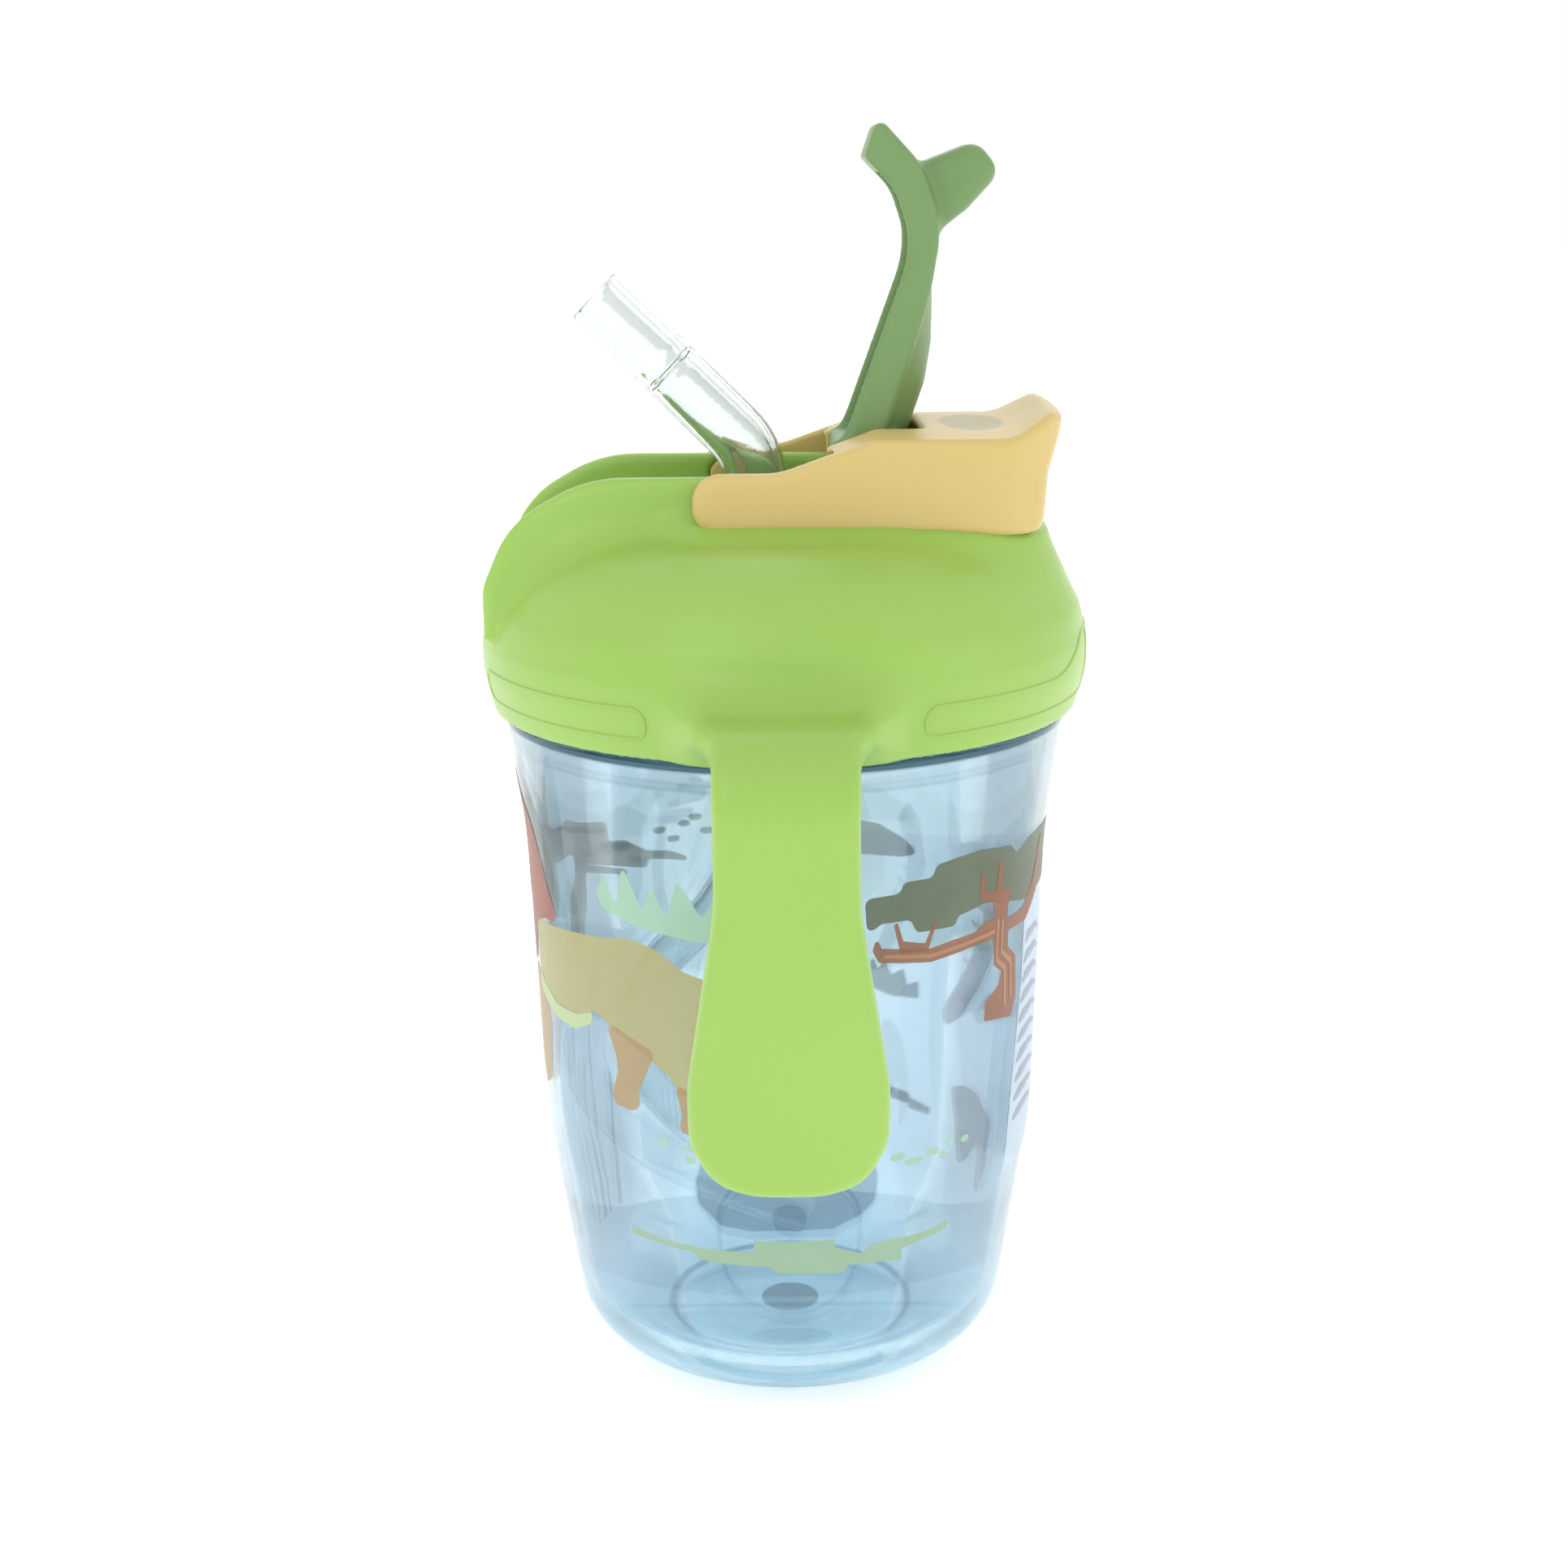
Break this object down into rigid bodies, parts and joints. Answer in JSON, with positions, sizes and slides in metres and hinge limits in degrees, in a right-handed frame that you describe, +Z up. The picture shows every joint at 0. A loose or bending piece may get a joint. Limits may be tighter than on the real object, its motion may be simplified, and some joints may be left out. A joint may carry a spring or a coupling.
{
  "type": "sippy cup",
  "caption": "Clear spill-proof training cup with a screw lid, two drop handles, a folding soft straw and a flip cover over it.",
  "frame": {"origin": "centre of the tumbler's base, on the table", "axes": "+Z up along the tumbler; the straw channel runs along X with the straw's mouth towards -X; the handles stand at -Y and +Y"},
  "size_m": [0.0786, 0.115, 0.1633],
  "materials": {
    "clear_tumbler": "gloss clear, printed outside",
    "green_lid": "satin moulded",
    "yellow_frame": "satin moulded",
    "green_cover": "satin moulded",
    "silicone": "soft translucent"
  },
  "bodies": {
    "tumbler": {"tumbler": "clear_tumbler"},
    "seal": {"lid_seal": "silicone"},
    "lid": {"lid": "green_lid", "vent_valve": "silicone", "straw_seat": "silicone", "dip_tube": "silicone", "hinge_frame": "yellow_frame"},
    "cover": {"flip_cover": "green_cover"},
    "spout": {"straw_spout": "silicone"}
  },
  "joints": [
    {"name": "lid_lift", "type": "slide", "parent": "tumbler", "child": "seal", "axis": [0, 0, 1], "range_m": [0, 0.006]},
    {"name": "lid_turn", "type": "hinge", "parent": "seal", "child": "lid", "pos_m": [0, 0, 0.091], "axis": [0, 0, 1], "range_deg": [0, 360]},
    {"name": "cover_hinge", "type": "hinge", "parent": "lid", "child": "cover", "pos_m": [0.0092, 0, 0.1196], "axis": [0, -1, 0], "range_deg": [0, 98]},
    {"name": "straw_fold", "type": "hinge", "parent": "lid", "child": "spout", "pos_m": [-0.0028, 0, 0.1182], "axis": [0, -1, 0], "range_deg": [0, 68]}
  ],
  "couplings": [
    {"joint": "lid_lift", "follows": "lid_turn", "m_per_rad": 0.0009549},
    {"joint": "straw_fold", "follows": "cover_hinge", "ratio": 0.6929}
  ]
}
